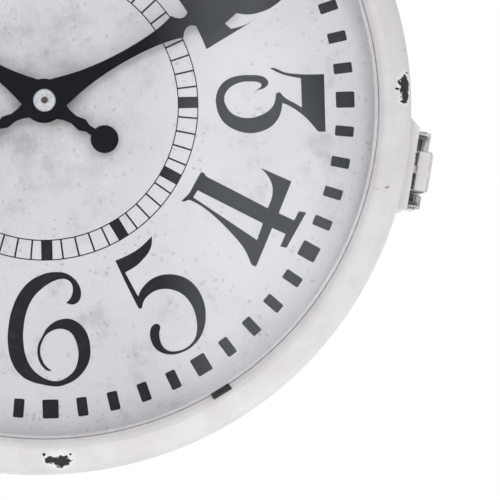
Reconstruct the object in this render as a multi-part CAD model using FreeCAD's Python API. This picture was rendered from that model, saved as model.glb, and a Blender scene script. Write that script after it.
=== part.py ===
# Double sided station clock on a wall bracket, in millimetres.
#
# Two pressed steel half cases close on each other like a clam shell. Each half
# holds its own glass, dial, quartz movement and pair of hands. The front half
# swings on an upright hinge at nine o'clock and is held by a toggle latch near
# three o'clock. The rear half carries a hanger, which turns under a bracket arm.
#
# The pieces are drawn about the clock's centre: X to the right of the front
# dial, Y from the front dial to the rear one, Z up. Depths are measured from
# the seam at Y = 0. At the end all of it is moved so that the origin lies on
# the wall, in the middle of the bracket's screw holes.

import FreeCAD, Part
import math
import os

# ---- Case ----
case_r = 180.0            # outside radius of the skirt
sheet = 1.5               # pressed steel
seam_gap = 0.3            # between the two closed halves
skirt_depth = 26.0        # straight part of the skirt, from the seam
shoulder_in = 4.0         # from the skirt to where its rounding meets the face
shoulder_depth = 35.6
crest_in = 11.8           # from the skirt to the bezel's foremost circle
crest_depth = 40.0
rim_width = 16.8          # from the skirt to the glass's edge
funnel_flare = 2.2        # the funnel is this much wider in front than at the glass
funnel_depth = 38.9
rounding_rise = 0.8       # bulge over its chord
well_lip = 0.4            # straight wall beyond the glass

# ---- Glass ----
glass_t = 3.0
glass_back = 33.0         # depth of its rear face, on the seat
glass_clearance = 0.2     # round its edge
glass_bevel = 0.8
seat_width = 2.0          # flange that the glass rests on
clip_width = 10.0         # along the glass's edge
clip_t = 1.3
clip_reach = 0.9          # over the glass
clip_hours = (2, 5, 8, 11)

# ---- Dial ----
dial_depth = 20.0         # its printed face
dial_t = 1.0
dial_edge_gap = 5.5       # to the inside of the skirt
tab_count = 3
tab_width = 16.0
tab_t = 1.5
tab_reach = 16.0          # from the skirt towards the centre
tab_foot = 8.0
tab_arch = 0.5            # the skirt falls away this much across the foot
dial_screw_inset = 5.0    # from the dial's edge
screw_r = 1.5
screw_flats = 5.5
screw_head_t = 1.4
screw_length = 6.0

# ---- Movement ----
movement_size = 56.0
movement_t = 15.0
movement_corner = 4.0
bush_r = 4.0
bush_bore = 3.0
bush_length = 4.5         # in front of the dial
dial_hole_clearance = 0.1
nut_flats = 14.0
nut_t = 2.3
battery_r = 7.1
battery_length = 49.0
battery_nub_r = 2.75
battery_nub = 1.2
bay_wall = 2.0
bay_clearance = 0.3
contact_t = 0.5
knob_r = 8.0
knob_t = 2.6
knob_sides = 12
knob_gap = 0.3
knob_stem_r = 2.0
knob_stem = 3.0
knob_offset = 12.0
bore_depth = 3.0          # of the bush's bore, behind the dial
arbor_depth = 4.0         # of the minute arbor's end
end_play = 0.3
running = 0.06            # radial clearance of a turning fit

# ---- Hands ----
arbor_rise = 1.7          # of the hands' axis over the dial's centre
arbor_r = 1.66
hour_tube_wall = 1.16
hand_t = 1.0
hour_hand_depth = 25.0    # rear face
minute_hand_depth = 27.2
minute_length = 138.0     # arbor to tip
hour_length = 98.0
collar_at = 22.0          # of the tail's collar, below the arbor
collar_front = 3.0
minute_ball_r = 6.0
minute_ball_at = 34.0
hour_ball_r = 6.8
hour_ball_at = 34.9
minute_hub_r = 9.4
hour_hub_r = 10.8
arbor_end = 31.0
hand_nut_r = 5.5
hand_nut_t = 2.0
nut_chamfer = 0.5
minute_turn = 62.1        # degrees past twelve
hour_turn = 303.5

# ---- Toggle latch and its keeper ----
latch_turn = 10.8         # below three o'clock
pad_height = 4.2          # of its flat face, over the skirt's highest line
pad_half = 20.2
pad_rise = 5.9            # of the slanted ends, face to skirt
pad_depth = 6.0           # blank below the skirt's line, cut away by it
pad_slope_up = 4.8
pad_slope_down = 1.4
pad_start = 1.0           # from the seam
pad_end = 22.0
plate_t = 1.2
pivot_y = 7.0
pivot_height = 9.6
claw_pivot_y = 13.0
claw_pivot_height = 8.2
latch_pin_r = 1.5
pin_head = 0.5            # thickness, and width round the pin
ear_t = 1.5
ear_outer = 17.2
ear_round = 2.6
lever_side_gap = 0.15
lever_t = 1.5
lever_rise = 1.7          # of the lever's middle over the claw's
lever_nose_r = 4.0        # front ends of its cheeks
lever_top = 13.9
lever_bottom = 5.8
wing_start = 10.0         # of its plate, beside the claw
wing_flange = 2.8         # height of the wings' folded front edge
claw_window = 0.6         # from the claw to the wings
lever_plate_start = 19.0
lever_plate_end = 33.0
lever_lip = 5.0
lever_lip_rise = 2.4
lever_corner = 2.0
claw_half = 10.0
claw_t = 1.6
claw_eye_r = 2.4
spacer_r = 2.3            # of the tubes that keep the claw in the middle
hook_corner = 2.0
hook_chamfer = 1.0
hook_gap = 0.3
keeper_wall_y = 9.2       # rear face of the keeper's wall, before the seam
keeper_wall_t = 1.5
keeper_top = 12.2
hook_bottom = 6.9
slot_bottom = 5.4
slot_a = (-8.8, -2.9)
slot_b = (1.5, 9.1)
rivet_r = 2.2
rivet_t = 1.0
base_rivet_inset = 3.5
base_rivet_z = 11.0
keeper_rivet_z = 5.5

# ---- Hinge ----
leaf_t = 2.0
leaf_half = 30.0
leaf_start = 1.0
leaf_end = 18.0
knuckle_r = 3.4
knuckle_clear = 0.5       # knuckle to the other leaf's face
knuckle_gap = 0.3
knuckle_count = 3
hinge_pin_r = 2.0
pin_head_r = 3.0
pin_head_t = 1.5
hinge_rivet_z = 18.0

spigot_seat = 8.0         # inside the rear skirt
spigot_reach = 3.0        # into the front skirt
spigot_clearance = 0.4

# ---- Hanger and swivel ----
hanger_pad_top = 4.0
hanger_half = 14.0
hanger_start = 2.0        # from the seam
neck_inset = 4.0
foot_t = 3.0
neck_half = 8.0
block_half = 7.0
block_height = 19.0       # of the block's underside over the skirt
block_t = 7.0
spindle_r = 5.0
washer_r = 10.0
washer_t = 1.0
boss_r = 12.0
boss_height = 24.0
dome_nut_flats = 16.0
dome_nut_t = 8.0
cap_t = 4.0
cap_top_r = 4.5
hanger_bolt_r = 2.5
hanger_bolt_x = 11.0
bolt_head_t = 2.0

# ---- Wall bracket ----
reach = 235.0             # wall to the clock's upright axis
wall_plate_t = 4.0
wall_plate_width = 56.0
wall_plate_height = 176.0
wall_plate_corner = 8.0
wall_hole_r = 2.75
wall_hole_dy = 36.0
wall_hole_dz = 140.0
arm_r = 7.0
arm_above = 62.0          # arm's axis over the middle of the wall plate
brace_r = 100.0
brace_t = 4.0
brace_width = 14.0
brace_flat = 14.0
brace_curl_r = 10.0
finial_r = 9.0
finial_neck_r = 4.0
finial_neck = 6.0

# ---- Worked out from the sizes above ----
skirt_in_r = case_r - sheet
shoulder_r = case_r - shoulder_in
crest_r = case_r - crest_in
glass_r = case_r - rim_width
dial_back = dial_depth - dial_t
movement_back = dial_back - movement_t
well_r = glass_r + glass_clearance
well_depth = glass_back + glass_t + well_lip
funnel_r = well_r + funnel_flare
dial_r = skirt_in_r - dial_edge_gap
dial_screw_r = dial_r - dial_screw_inset
hinge_x = -(case_r + leaf_t + knuckle_clear + knuckle_r)
pad_top_r = case_r + pad_height
block_bottom = case_r + block_height
block_top = block_bottom + block_t
boss_bottom = block_top + washer_t
arm_z = boss_bottom + boss_height / 2
HUGE = 1000.0             # longer than anything it cuts


def v(x, y, z):
    return FreeCAD.Vector(x, y, z)


def box(x0, x1, y0, y1, z0, z1):
    return Part.makeBox(x1 - x0, y1 - y0, z1 - z0, v(x0, y0, z0))


def rod_y(r, y0, y1, x=0.0, z=0.0):
    """A round bar along Y."""
    return Part.makeCylinder(r, y1 - y0, v(x, y0, z), v(0, 1, 0))


def rod_z(r, z0, z1, x=0.0, y=0.0):
    return Part.makeCylinder(r, z1 - z0, v(x, y, z0), v(0, 0, 1))


def rod_x(r, x0, x1, y=0.0, z=0.0):
    return Part.makeCylinder(r, x1 - x0, v(x0, y, z), v(1, 0, 0))


def fuse(first, *rest):
    return first.fuse(list(rest)).removeSplitter()


def turned(shape, degrees):
    """The shape moved round the dial, clockwise seen from the front."""
    moved = shape.copy()
    moved.rotate(v(0, 0, 0), v(0, 1, 0), degrees)
    return moved


def to_rear(shape):
    """The same piece on the rear half, which faces the other way."""
    moved = shape.copy()
    moved.rotate(v(0, 0, 0), v(0, 0, 1), 180)
    return moved


def polygon_face(points):
    return Part.Face(Part.makePolygon(points + [points[0]]))


def hexagon(flats, y0, y1):
    corner = flats / 2 / math.cos(math.pi / 6)
    points = []
    for i in range(6):
        a = math.radians(60 * i + 30)
        points.append(v(corner * math.cos(a), y0, corner * math.sin(a)))
    return polygon_face(points).extrude(v(0, y1 - y0, 0))


# ---------------------------------------------------------------- half case

def half_case():
    """Skirt, rounded bezel, funnel and glass seat, pressed from one sheet."""
    seam = v(case_r, -seam_gap / 2, 0)
    skirt_end = v(case_r, -skirt_depth, 0)
    shoulder = v(shoulder_r, -shoulder_depth, 0)
    crest = v(crest_r, -crest_depth, 0)
    funnel = v(funnel_r, -funnel_depth, 0)
    well = v(well_r, -well_depth, 0)
    seat = v(well_r, -glass_back, 0)
    rounding = arc_through(skirt_end, shoulder, rounding_rise)
    bulge = rounding.valueAt((rounding.FirstParameter + rounding.LastParameter) / 2)
    inward = v(crest.y - shoulder.y, shoulder.x - crest.x, 0).normalize()
    outside = [
        Part.makeLine(seam, skirt_end),
        rounding,
        Part.makeLine(shoulder, crest),
        Part.makeLine(crest, funnel),
        Part.makeLine(funnel, well),
        Part.makeLine(well, seat),
    ]
    seat_edge = v(well_r - seat_width, -glass_back, 0)
    bends = [
        seat,
        seat_edge,
        seat_edge + v(0, sheet, 0),
        v(well_r + sheet, -glass_back + sheet, 0),
        v(well_r + sheet, -glass_back - glass_t + sheet / 3, 0),
        crest + inward * sheet,
        shoulder + inward * sheet,
        bulge + (rounding.Curve.Center - bulge).normalize() * sheet,
        v(case_r - sheet, -skirt_depth, 0),
        v(case_r - sheet, -seam_gap / 2, 0),
        seam,
    ]
    inside = [Part.makeLine(p, q) for p, q in zip(bends, bends[1:])]
    section = Part.Face(Part.Wire(outside + inside))
    return section.revolve(v(0, 0, 0), v(0, 1, 0), 360)


def arc_through(start, end, rise):
    """Arc between two points that bulges outwards by the rise."""
    chord = end - start
    outward = v(-chord.y, chord.x, 0)
    if outward.y > 0:
        outward = outward * -1
    outward.normalize()
    return Part.Arc(start, (start + end) * 0.5 + outward * rise, end).toShape()


def glass():
    """Flat disc with its front edge bevelled."""
    back = -glass_back
    front = -(glass_back + glass_t)
    points = [
        v(0, back, 0),
        v(glass_r, back, 0),
        v(glass_r, front + glass_bevel, 0),
        v(glass_r - glass_bevel, front, 0),
        v(0, front, 0),
    ]
    return polygon_face(points).revolve(v(0, 0, 0), v(0, 1, 0), 360)


def glass_clips():
    """Small black clips, seated on the funnel, that lap over the glass."""
    face = -(glass_back + glass_t)
    wall_low = v(well_r, face, 0)
    wall_mid = v(well_r, -well_depth, 0)
    wall_high = v(funnel_r, -funnel_depth, 0)
    slope = wall_high - wall_mid
    slope.normalize()
    inward = v(slope.y, -slope.x, 0) * clip_t
    points = [
        wall_low,
        wall_mid,
        wall_high,
        wall_high + inward,
        v(glass_r - clip_reach, face - clip_t, 0),
        v(glass_r - clip_reach, face, 0),
    ]
    sweep = math.degrees(clip_width / glass_r)
    one = polygon_face(points).revolve(v(0, 0, 0), v(0, 1, 0), sweep)
    clips = []
    for hour in clip_hours:
        clips.append(turned(one, 30 * hour - 90 - sweep / 2))
    return Part.makeCompound(clips)


# ---------------------------------------------------------------- dial

def tab_angles():
    return [45 + 360 / tab_count * i for i in range(tab_count)]


def dial():
    disc = rod_y(dial_r, -dial_depth, -dial_back)
    hole_r = bush_r + dial_hole_clearance
    cuts = [rod_y(hole_r, -dial_depth - 1, -dial_back + 1, 0, arbor_rise)]
    for angle in tab_angles():
        hole = rod_y(screw_r, -dial_depth - 1, -dial_back + 1, 0, dial_screw_r)
        cuts.append(turned(hole, angle))
    return disc.cut(Part.makeCompound(cuts))


def dial_tabs():
    """Angles welded inside the skirt, behind the dial's edge."""
    shelf = box(-tab_width / 2, tab_width / 2, -dial_back, -dial_back + tab_t,
                skirt_in_r - tab_reach, case_r)
    foot = box(-tab_width / 2, tab_width / 2, -dial_back, -dial_back + tab_foot,
               skirt_in_r - tab_t - tab_arch, case_r)
    hole = rod_y(screw_r, -dial_back - 1, -dial_back + tab_t + 1, 0, dial_screw_r)
    one = fuse(shelf, foot).common(rod_y(skirt_in_r, -HUGE / 2, HUGE / 2)).cut(hole)
    return Part.makeCompound([turned(one, angle) for angle in tab_angles()])


def dial_screws():
    shank = rod_y(screw_r, -dial_depth, -dial_depth + screw_length, 0, dial_screw_r)
    head = hexagon(screw_flats, -dial_depth - screw_head_t, -dial_depth)
    head.translate(v(0, 0, dial_screw_r))
    one = fuse(shank, head)
    return Part.makeCompound([turned(one, angle) for angle in tab_angles()])


# ---------------------------------------------------------------- movement

def bay_size():
    """Length and height of the battery's bay."""
    length = battery_length + battery_nub + 2 * (bay_clearance + contact_t)
    return length, 2 * (battery_r + bay_clearance)


def bay_centre_z():
    return -movement_size / 2 + bay_wall + bay_size()[1] / 2


def battery_y():
    return -(movement_back + battery_r)


def movement():
    half = movement_size / 2
    body = box(-half, half, -dial_back, -movement_back, -half, half)
    body = body.makeFillet(movement_corner, [e for e in body.Edges if along_y(e)])
    bush = rod_y(bush_r, -dial_depth - bush_length, -dial_back)
    length, height = bay_size()
    low = bay_centre_z() - height / 2
    bay = box(-length / 2, length / 2, battery_y() - battery_r - bay_clearance, HUGE,
              low, low + height)
    bore = rod_y(bush_bore, -dial_depth - bush_length - 1, -dial_back + bore_depth)
    arbor_hole = rod_y(arbor_r + running, -dial_back, -dial_back + arbor_depth + end_play)
    stem_hole = rod_y(knob_stem_r + running, -movement_back - knob_stem - end_play, HUGE,
                      knob_offset, knob_offset)
    return fuse(body, bush).cut(Part.makeCompound([bay, bore, arbor_hole, stem_hole]))


def along_y(edge):
    ends = edge.Vertexes
    return abs(ends[0].X - ends[-1].X) + abs(ends[0].Z - ends[-1].Z) < 0.001


def battery():
    """One AA cell on its side, its plain end to the left."""
    start = -(battery_length + battery_nub) / 2
    cell = rod_x(battery_r, start, start + battery_length, battery_y(), bay_centre_z())
    nub = rod_x(battery_nub_r, start + battery_length, -start, battery_y(), bay_centre_z())
    return fuse(cell, nub)


def battery_contacts():
    length, height = bay_size()
    x = length / 2
    z0 = bay_centre_z() - battery_nub_r
    z1 = bay_centre_z() + battery_nub_r
    y0 = battery_y() - battery_r - bay_clearance
    left = box(-x, -x + contact_t, y0, -movement_back - 2, z0, z1)
    right = box(x - contact_t, x, y0, -movement_back - 2, z0, z1)
    return Part.makeCompound([left, right])


def setting_knob():
    """Twelve sided thumb wheel on its stem."""
    near = -movement_back + knob_gap
    rim = []
    for i in range(knob_sides):
        a = 2 * math.pi * i / knob_sides
        rim.append(v(knob_offset + knob_r * math.cos(a), near, knob_offset + knob_r * math.sin(a)))
    wheel = polygon_face(rim).extrude(v(0, knob_t, 0))
    stem = rod_y(knob_stem_r, -movement_back - knob_stem, near, knob_offset, knob_offset)
    return fuse(wheel, stem)


def dial_nut():
    nut = hexagon(nut_flats, -dial_depth - nut_t, -dial_depth)
    return nut.cut(rod_y(bush_r, -dial_depth - nut_t - 1, -dial_depth + 1))


# ---------------------------------------------------------------- hands

# A hand's right edge from hub to tip, as shares of its length: (half width,
# height). The stem ends at the flare, where a round notch leads to the spade.
minute_stem = [
    (0.0594, 0.0362), (0.0471, 0.0870), (0.0355, 0.1377), (0.0254, 0.2029),
    (0.0188, 0.2899), (0.0185, 0.3623), (0.0225, 0.4312), (0.0312, 0.4928),
]
minute_flare = (0.0442, 0.5399)
minute_notch = [(0.0246, 0.5572), (0.0181, 0.5754), (0.0232, 0.5913), (0.0384, 0.6072)]
minute_spade = [
    (0.0572, 0.6326), (0.0649, 0.6630), (0.0630, 0.6920), (0.0457, 0.7457),
    (0.0297, 0.7841), (0.0138, 0.8623), (0.0029, 1.0000),
]
hour_stem = [(0.0820, 0.0510), (0.0490, 0.1837), (0.0337, 0.3061), (0.0469, 0.4286)]
hour_flare = (0.0735, 0.5102)
hour_notch = [(0.0500, 0.5330), (0.0440, 0.5540), (0.0600, 0.5800)]
hour_spade = [
    (0.0980, 0.6122), (0.1224, 0.6684), (0.0878, 0.7602),
    (0.0531, 0.8112), (0.0235, 0.8827), (0.0041, 1.0000),
]


def edge_line(points, length):
    curve = Part.BSplineCurve()
    curve.interpolate([v(w * length, 0, h * length) for w, h in points])
    return curve.toShape()


def hand_blank(length, stem, flare, notch, spade):
    """The blade, the same left and right."""
    right = [edge_line(stem + [flare], length), edge_line([flare] + notch + spade, length)]
    left = [edge.mirror(v(0, 0, 0), v(1, 0, 0)) for edge in right]
    ends = []
    for w, h in (stem[0], spade[-1]):
        ends.append(Part.makeLine(v(-w, 0, h) * length, v(w, 0, h) * length))
    wire = Part.Wire(Part.__sortEdges__(right + left + ends))
    return Part.Face(wire).extrude(v(0, hand_t, 0))


# Half widths of a tail's bar, as shares of its waist, and their distances from
# the arbor as shares of the collar's.
tail_bar = [(3.0, 0.25), (3.0, 0.33), (1.9, 0.45), (1.3, 0.60), (1.0, 0.78)]


def tail_blank(waist_half, collar_half, collar_z, ball_r, ball_z):
    """Counterweight: a waisted bar, a collar and a round disc."""
    right = [v(w * waist_half, 0, -z * collar_z) for w, z in tail_bar]
    right += [
        v(collar_half, 0, -collar_z),
        v(waist_half * 0.85, 0, -collar_z - collar_front),
        v(waist_half * 0.85, 0, -ball_z),
    ]
    left = [v(-p.x, 0, p.z) for p in reversed(right)]
    bar = polygon_face(right + left).extrude(v(0, hand_t, 0))
    return fuse(bar, rod_y(ball_r, 0, hand_t, 0, -ball_z))


def minute_hand():
    blade = hand_blank(minute_length, minute_stem, minute_flare, minute_notch, minute_spade)
    tail = tail_blank(2.1, 3.0, collar_at, minute_ball_r, minute_ball_at)
    hub = rod_y(minute_hub_r, 0, hand_t)
    hand = fuse(blade, tail, hub).cut(rod_y(arbor_r, -1, hand_t + 1))
    hand.translate(v(0, -minute_hand_depth - hand_t, 0))
    return turned(hand, minute_turn)


def hour_hand():
    """The short hand with the tube that pushes onto the hour wheel."""
    blade = hand_blank(hour_length, hour_stem, hour_flare, hour_notch, hour_spade)
    tail = tail_blank(2.2, 3.2, collar_at, hour_ball_r, hour_ball_at)
    tube_r = arbor_r + running + hour_tube_wall
    tube = rod_y(tube_r, hand_t, hand_t + hour_hand_depth - dial_back - end_play)
    hub = rod_y(hour_hub_r, 0, hand_t)
    bore = rod_y(arbor_r + running, -1, hour_hand_depth)
    hand = fuse(blade, tail, hub, tube).cut(bore)
    hand.translate(v(0, -hour_hand_depth - hand_t, 0))
    return turned(hand, hour_turn)


def minute_arbor():
    return rod_y(arbor_r, -arbor_end, -dial_back + arbor_depth)


def hand_nut():
    """Bright open nut that shows the arbor's end."""
    y1 = -minute_hand_depth - hand_t
    nut = rod_y(hand_nut_r, y1 - hand_nut_t, y1)
    rim = [e for e in nut.Edges if abs(e.CenterOfMass.y - (y1 - hand_nut_t)) < 0.001]
    return nut.makeChamfer(nut_chamfer, rim).cut(rod_y(arbor_r, y1 - hand_nut_t - 1, y1 + 1))


# ---------------------------------------------------------------- latch

def side_outline(points, half):
    """A flat outline across the latch, given as (Y, height), made 2*half thick."""
    flat = polygon_face([v(case_r + h, y, -half) for y, h in points])
    return flat.extrude(v(0, 0, 2 * half))


def at_latch(shape):
    return turned(shape, latch_turn)


def raised(shape):
    """Moved from the claw's middle to the lever's."""
    return shape.translated(v(0, 0, lever_rise))


def pad(y0, y1):
    """Welded saddle with a flat face on the round skirt."""
    low = -pad_depth
    ratio = (pad_height + pad_depth) / pad_rise
    points = [
        v(pad_top_r, y0, pad_half),
        v(case_r + low, y0, pad_half + pad_slope_up * ratio),
        v(case_r + low, y0, -pad_half - pad_slope_down * ratio),
        v(pad_top_r, y0, -pad_half),
    ]
    block = polygon_face(points).extrude(v(0, y1 - y0, 0))
    return at_latch(block.cut(rod_y(case_r, y0 - 1, y1 + 1)))


def rivet_heads(spots, x0):
    heads = []
    for y, z in spots:
        heads.append(Part.makeCylinder(rivet_r, rivet_t, v(x0, y, z), v(1, 0, 0)))
    return Part.makeCompound(heads)


def latch_base():
    """Base plate with two ears that hold the lever's pivots."""
    top = pad_top_r + plate_t
    plate = box(pad_top_r, top, pad_start + 1, pad_end - 1, -ear_outer, ear_outer)
    ears = []
    for z0 in (-ear_outer, ear_outer - ear_t):
        cheek = box(pad_top_r, case_r + pivot_height, pivot_y - ear_round,
                    pivot_y + ear_round, z0, z0 + ear_t)
        crown = rod_z(ear_round, z0, z0 + ear_t, case_r + pivot_height, pivot_y)
        ears += [cheek, crown]
    hole = rod_z(latch_pin_r, -HUGE / 2, HUGE / 2, case_r + pivot_height, pivot_y)
    return at_latch(raised(fuse(plate, *ears).cut(hole)))


def latch_base_rivets():
    y = pad_end - base_rivet_inset
    spots = [(y, base_rivet_z), (y, -base_rivet_z)]
    return at_latch(raised(rivet_heads(spots, pad_top_r + plate_t)))


def lever_half_width():
    return ear_outer + lever_side_gap + lever_t


def lever_pins():
    """Two short rivets, one through each ear and lever cheek."""
    x = case_r + pivot_height
    outer = lever_half_width() + lever_side_gap
    shank = rod_z(latch_pin_r, ear_outer - ear_t, outer, x, pivot_y)
    head = rod_z(latch_pin_r + pin_head, outer, outer + pin_head, x, pivot_y)
    pin = fuse(shank, head)
    return at_latch(raised(Part.makeCompound([pin, pin.mirror(v(0, 0, 0), v(0, 0, 1))])))


def latch_lever():
    """Channel shaped lever: two cheeks and a plate with wings and a finger lip."""
    half = lever_half_width()
    low = case_r + lever_bottom
    high = case_r + lever_top
    body = box(low, high, pivot_y, lever_plate_end, -half, half)
    corners = [e for e in body.Edges if along_y(e) and e.CenterOfMass.x > high - 0.1]
    body = body.makeFillet(lever_corner, corners)
    nose = rod_z(lever_nose_r, -half, half, case_r + pivot_height, pivot_y)
    inner = half - lever_t
    hollow = box(low - 5, high - lever_t, -HUGE / 2, HUGE / 2, -inner, inner)
    front = box(low - 5, high + 5, -HUGE / 2, wing_start, -inner, inner)
    flange = body.common(box(high - wing_flange, high, wing_start, wing_start + lever_t,
                             -half, half))
    free = claw_half + claw_window
    window = box(low - 5, high + 5, -HUGE / 2, lever_plate_start,
                 -free - lever_rise, free - lever_rise)
    tip = lever_top + lever_lip_rise
    points = [
        (lever_plate_end - 1, lever_top - lever_t),
        (lever_plate_end - 1, lever_top),
        (lever_plate_end + lever_lip, tip),
        (lever_plate_end + lever_lip + 0.5, tip - lever_t),
    ]
    lip = side_outline(points, half - lever_corner)
    holes = [
        rod_z(latch_pin_r + running, -HUGE / 2, HUGE / 2, case_r + pivot_height, pivot_y),
        rod_z(latch_pin_r, -HUGE / 2, HUGE / 2, case_r + claw_pivot_height, claw_pivot_y),
    ]
    lever = fuse(body, nose).cut([hollow, front])
    lever = fuse(lever, flange, lip).cut([window] + holes)
    return at_latch(raised(lever.removeSplitter()))


def claw_pin():
    half = lever_half_width()
    pin = rod_z(latch_pin_r, -half, half, case_r + claw_pivot_height, claw_pivot_y)
    return at_latch(raised(pin))


def claw_spacers():
    """Tubes on the pin, from the claw's eye to each cheek."""
    inner = lever_half_width() - lever_t
    x = case_r + claw_pivot_height
    near = claw_half + running
    tubes = []
    for z0, z1 in ((lever_rise - inner, -near), (near, lever_rise + inner)):
        tube = rod_z(spacer_r, z0, z1, x, claw_pivot_y)
        tubes.append(tube.cut(rod_z(latch_pin_r, z0 - 1, z1 + 1, x, claw_pivot_y)))
    return at_latch(Part.makeCompound(tubes))


def hook_envelope(top):
    """Block that rounds the claw's outer corners, as they show from the front."""
    block = box(case_r, case_r + top, -HUGE / 2, HUGE / 2, -claw_half, claw_half)
    corners = [e for e in block.Edges if along_y(e) and e.CenterOfMass.x > case_r + top - 0.1]
    return block.makeFillet(hook_corner, corners)


def latch_claw():
    """Link from the lever to the hook that laps over the keeper's wall."""
    wall_front = -(keeper_wall_y + keeper_wall_t)
    hook_in = wall_front - hook_gap
    under = keeper_top + hook_gap
    over = under + claw_t
    # outline runs from the eye over the wall and down the hook
    points = [
        (claw_pivot_y, claw_pivot_height + claw_eye_r),
        (wall_front + 3, over),
        (hook_in - claw_t + hook_chamfer, over),
        (hook_in - claw_t, over - hook_chamfer),
        (hook_in - claw_t, hook_bottom),
        (hook_in, hook_bottom),
        (hook_in, under),
        (wall_front + 3, under),
        (claw_pivot_y, claw_pivot_height - claw_eye_r + 1.2),
    ]
    strap = side_outline(points, claw_half).common(hook_envelope(over))
    x = case_r + claw_pivot_height
    eye = rod_z(claw_eye_r, -claw_half, claw_half, x, claw_pivot_y)
    hole = rod_z(latch_pin_r + running, -claw_half - 1, claw_half + 1, x, claw_pivot_y)
    return at_latch(fuse(strap, eye).cut(hole))


def latch_keeper():
    """Foot and upright wall; two slots at the wall's root leave a narrow neck."""
    back = -keeper_wall_y
    foot = box(pad_top_r, pad_top_r + plate_t, back, -pad_start - 0.5, -claw_half, claw_half)
    wall = box(pad_top_r, case_r + keeper_top, back - keeper_wall_t, back, -claw_half, claw_half)
    slots = []
    for t0, t1 in (slot_a, slot_b):
        slots.append(box(case_r + slot_bottom, case_r + hook_bottom, -HUGE / 2, back + 0.01,
                         -t1, -t0))
    return at_latch(fuse(foot, wall).cut(Part.makeCompound(slots)))


def keeper_rivets():
    y = -(keeper_wall_y + pad_start + 0.5) / 2
    spots = [(y, keeper_rivet_z), (y, -keeper_rivet_z)]
    return at_latch(rivet_heads(spots, pad_top_r + plate_t))


# ---------------------------------------------------------------- hinge

def knuckle_spans():
    step = 2 * leaf_half / knuckle_count
    spans = []
    for i in range(knuckle_count):
        z0 = -leaf_half + i * step
        spans.append((z0 + knuckle_gap / 2, z0 + step - knuckle_gap / 2))
    return spans


def hinge_leaf(which, bore):
    """Rear leaf for which = 0, with the even knuckles; front leaf for 1."""
    face = -(case_r + leaf_t)
    plate = box(face, -case_r + 8, leaf_start, leaf_end, -leaf_half, leaf_half)
    plate = plate.cut(rod_y(case_r, 0, leaf_end + 1))
    parts = []
    for z0, z1 in knuckle_spans()[which::2]:
        barrel = rod_z(knuckle_r, z0, z1, hinge_x, 0)
        web = box(hinge_x, face + 0.5, seam_gap / 2, knuckle_r, z0, z1)
        tongue = box(face - knuckle_clear, face + 0.5, seam_gap / 2, leaf_start + 1, z0, z1)
        parts += [barrel, web, tongue]
    leaf = fuse(plate, *parts)
    leaf = leaf.cut(rod_z(bore, -HUGE / 2, HUGE / 2, hinge_x, 0))
    leaf = leaf.cut(rod_y(case_r, -HUGE / 2, HUGE / 2))
    if which == 1:
        leaf = leaf.mirror(v(0, 0, 0), v(0, 1, 0))
    return leaf


def hinge_pin():
    shank = rod_z(hinge_pin_r, -leaf_half, leaf_half, hinge_x, 0)
    top = rod_z(pin_head_r, leaf_half, leaf_half + pin_head_t, hinge_x, 0)
    bottom = rod_z(pin_head_r, -leaf_half - pin_head_t, -leaf_half, hinge_x, 0)
    return fuse(shank, top, bottom)


def hinge_rivets(side):
    y = side * (leaf_start + leaf_end) / 2
    x = -(case_r + leaf_t + rivet_t)
    return rivet_heads([(y, hinge_rivet_z), (y, -hinge_rivet_z)], x)


def seam_ring():
    """Spigot inside the rear skirt that the front skirt closes over."""
    outer = skirt_in_r
    inner = skirt_in_r - sheet
    guide = outer - spigot_clearance
    points = [
        v(outer, spigot_seat, 0),
        v(outer, seam_gap / 2, 0),
        v(guide, -seam_gap / 2, 0),
        v(guide, -spigot_reach, 0),
        v(inner, -spigot_reach, 0),
        v(inner, spigot_seat, 0),
    ]
    return polygon_face(points).revolve(v(0, 0, 0), v(0, 1, 0), 360)


# ---------------------------------------------------------------- hanger

def hanger_pad():
    block = box(-hanger_half, hanger_half, hanger_start, pad_end,
                case_r - 2, case_r + hanger_pad_top)
    return block.cut(rod_y(case_r, 0, pad_end + 1))


def hanger():
    """Cranked neck that brings the load back over the seam."""
    z0 = case_r + hanger_pad_top
    foot = box(-hanger_half, hanger_half, hanger_start, pad_end, z0, z0 + foot_t)
    points = [
        v(-neck_half, pad_end - neck_inset, z0),
        v(-neck_half, block_half, block_top),
        v(-neck_half, -block_half, block_top),
        v(-neck_half, -block_half, block_bottom),
        v(-neck_half, neck_inset, z0 + foot_t),
        v(-neck_half, neck_inset, z0),
    ]
    neck = polygon_face(points).extrude(v(2 * neck_half, 0, 0))
    hole = rod_z(spindle_r, block_bottom, block_top + 1)
    return fuse(foot, neck).cut(hole)


def hanger_bolts():
    z0 = case_r + hanger_pad_top + foot_t
    y = (hanger_start + pad_end) / 2
    heads = []
    for x in (-hanger_bolt_x, hanger_bolt_x):
        heads.append(rod_z(hanger_bolt_r, z0, z0 + bolt_head_t, x, y))
    return Part.makeCompound(heads)


def spindle_top():
    return boss_bottom + boss_height + washer_t + dome_nut_t - 2


def swivel_spindle():
    return rod_z(spindle_r, block_bottom, spindle_top())


def washer(z0):
    hole = rod_z(spindle_r + running, z0 - 1, z0 + washer_t + 1)
    return rod_z(washer_r, z0, z0 + washer_t).cut(hole)


def swivel_nut():
    """Hexagon nut with a coned cap over the spindle's end."""
    z0 = boss_bottom + boss_height + washer_t
    top = z0 + dome_nut_t
    hexa = hexagon(dome_nut_flats, 0, dome_nut_t)
    hexa.rotate(v(0, 0, 0), v(1, 0, 0), 90)
    hexa.translate(v(0, 0, z0))
    cap = Part.makeCone(dome_nut_flats / 2 - 0.5, cap_top_r, cap_t, v(0, 0, top))
    bore = rod_z(spindle_r, z0 - 1, spindle_top())
    return fuse(hexa, cap).cut(bore)


# ---------------------------------------------------------------- bracket

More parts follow.
